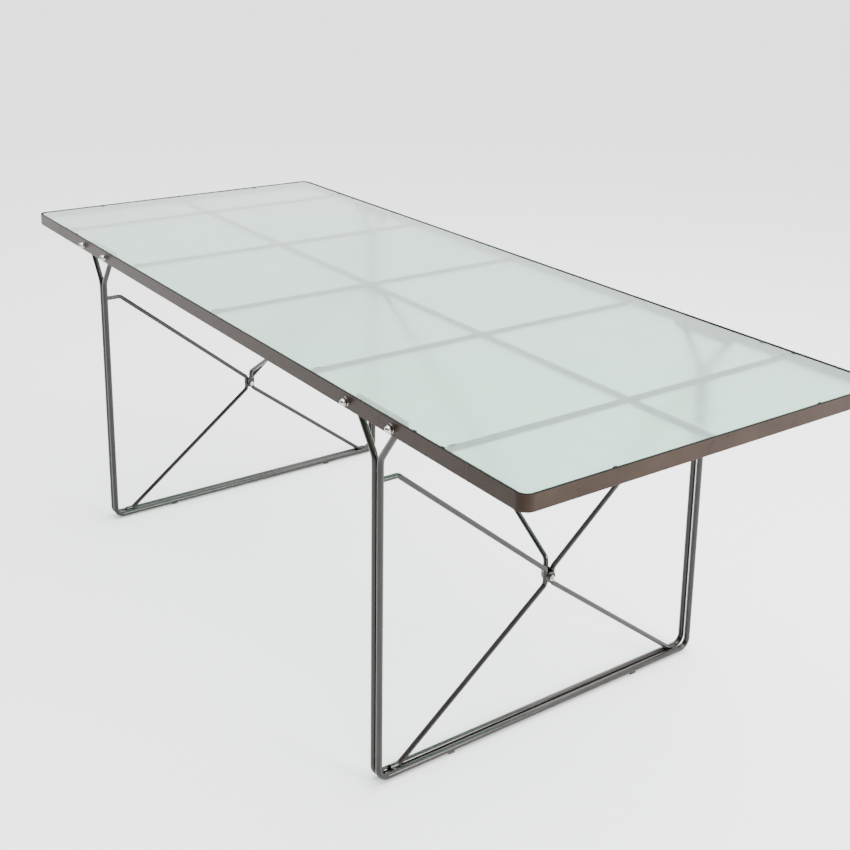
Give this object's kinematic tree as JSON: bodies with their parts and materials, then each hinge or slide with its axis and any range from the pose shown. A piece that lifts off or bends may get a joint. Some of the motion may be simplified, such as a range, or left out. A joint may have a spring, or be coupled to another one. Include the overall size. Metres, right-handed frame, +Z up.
{
  "type": "glass-topped table",
  "caption": "Long work or dining table: a frosted glass pane in a flat steel rim, on two trestles of bent steel rod with crossed braces and stays.",
  "frame": {"origin": "centre of the footprint, on the floor", "axes": "+X along the table, +Y across it, +Z up"},
  "size_m": [2, 0.8272, 0.7112],
  "materials": {
    "rim_paint": "satin bronze-brown paint, a little glossy",
    "bar_paint": "satin dark brown paint",
    "rod_paint": "satin graphite paint on round bar",
    "frosted_glass": "ground underside, clear polished top, pale green",
    "black_rubber": "matt",
    "bright_chrome": "polished",
    "zinc_steel": "zinc plated, a little dull",
    "black_plastic": "matt"
  },
  "bodies": {
    "frame": {"centre_bar": "bar_paint", "cross_bar_1": "bar_paint", "cross_bar_2": "bar_paint", "cross_bar_3": "bar_paint", "cross_bar_4": "bar_paint", "cross_bar_5": "bar_paint", "edge_bumpers": "black_rubber", "glass_pads": "black_rubber", "left_back_brace": "rod_paint", "left_back_spreader": "rod_paint", "left_cap_nuts": "bright_chrome", "left_crossing_bolt": "zinc_steel", "left_crossing_nut": "bright_chrome", "left_crossing_washers": "rod_paint", "left_front_brace": "rod_paint", "left_front_spreader": "rod_paint", "left_glides": "black_plastic", "left_inner_rod": "rod_paint", "left_outer_rod": "rod_paint", "left_rail_collars": "rod_paint", "left_rail_washers": "bright_chrome", "left_stay": "rod_paint", "right_back_brace": "rod_paint", "right_back_spreader": "rod_paint", "right_cap_nuts": "bright_chrome", "right_crossing_bolt": "zinc_steel", "right_crossing_nut": "bright_chrome", "right_crossing_washers": "rod_paint", "right_front_brace": "rod_paint", "right_front_spreader": "rod_paint", "right_glides": "black_plastic", "right_inner_rod": "rod_paint", "right_outer_rod": "rod_paint", "right_rail_collars": "rod_paint", "right_rail_washers": "bright_chrome", "right_stay": "rod_paint", "stay_plate": "bar_paint", "stay_screws": "zinc_steel", "top_rim": "rim_paint"},
    "glass": {"glass_pane": "frosted_glass"}
  },
  "joints": [
    {"name": "glass_lift", "type": "slide", "parent": "frame", "child": "glass", "axis": [0, 0, 1], "range_m": [0, 0.06]}
  ]
}
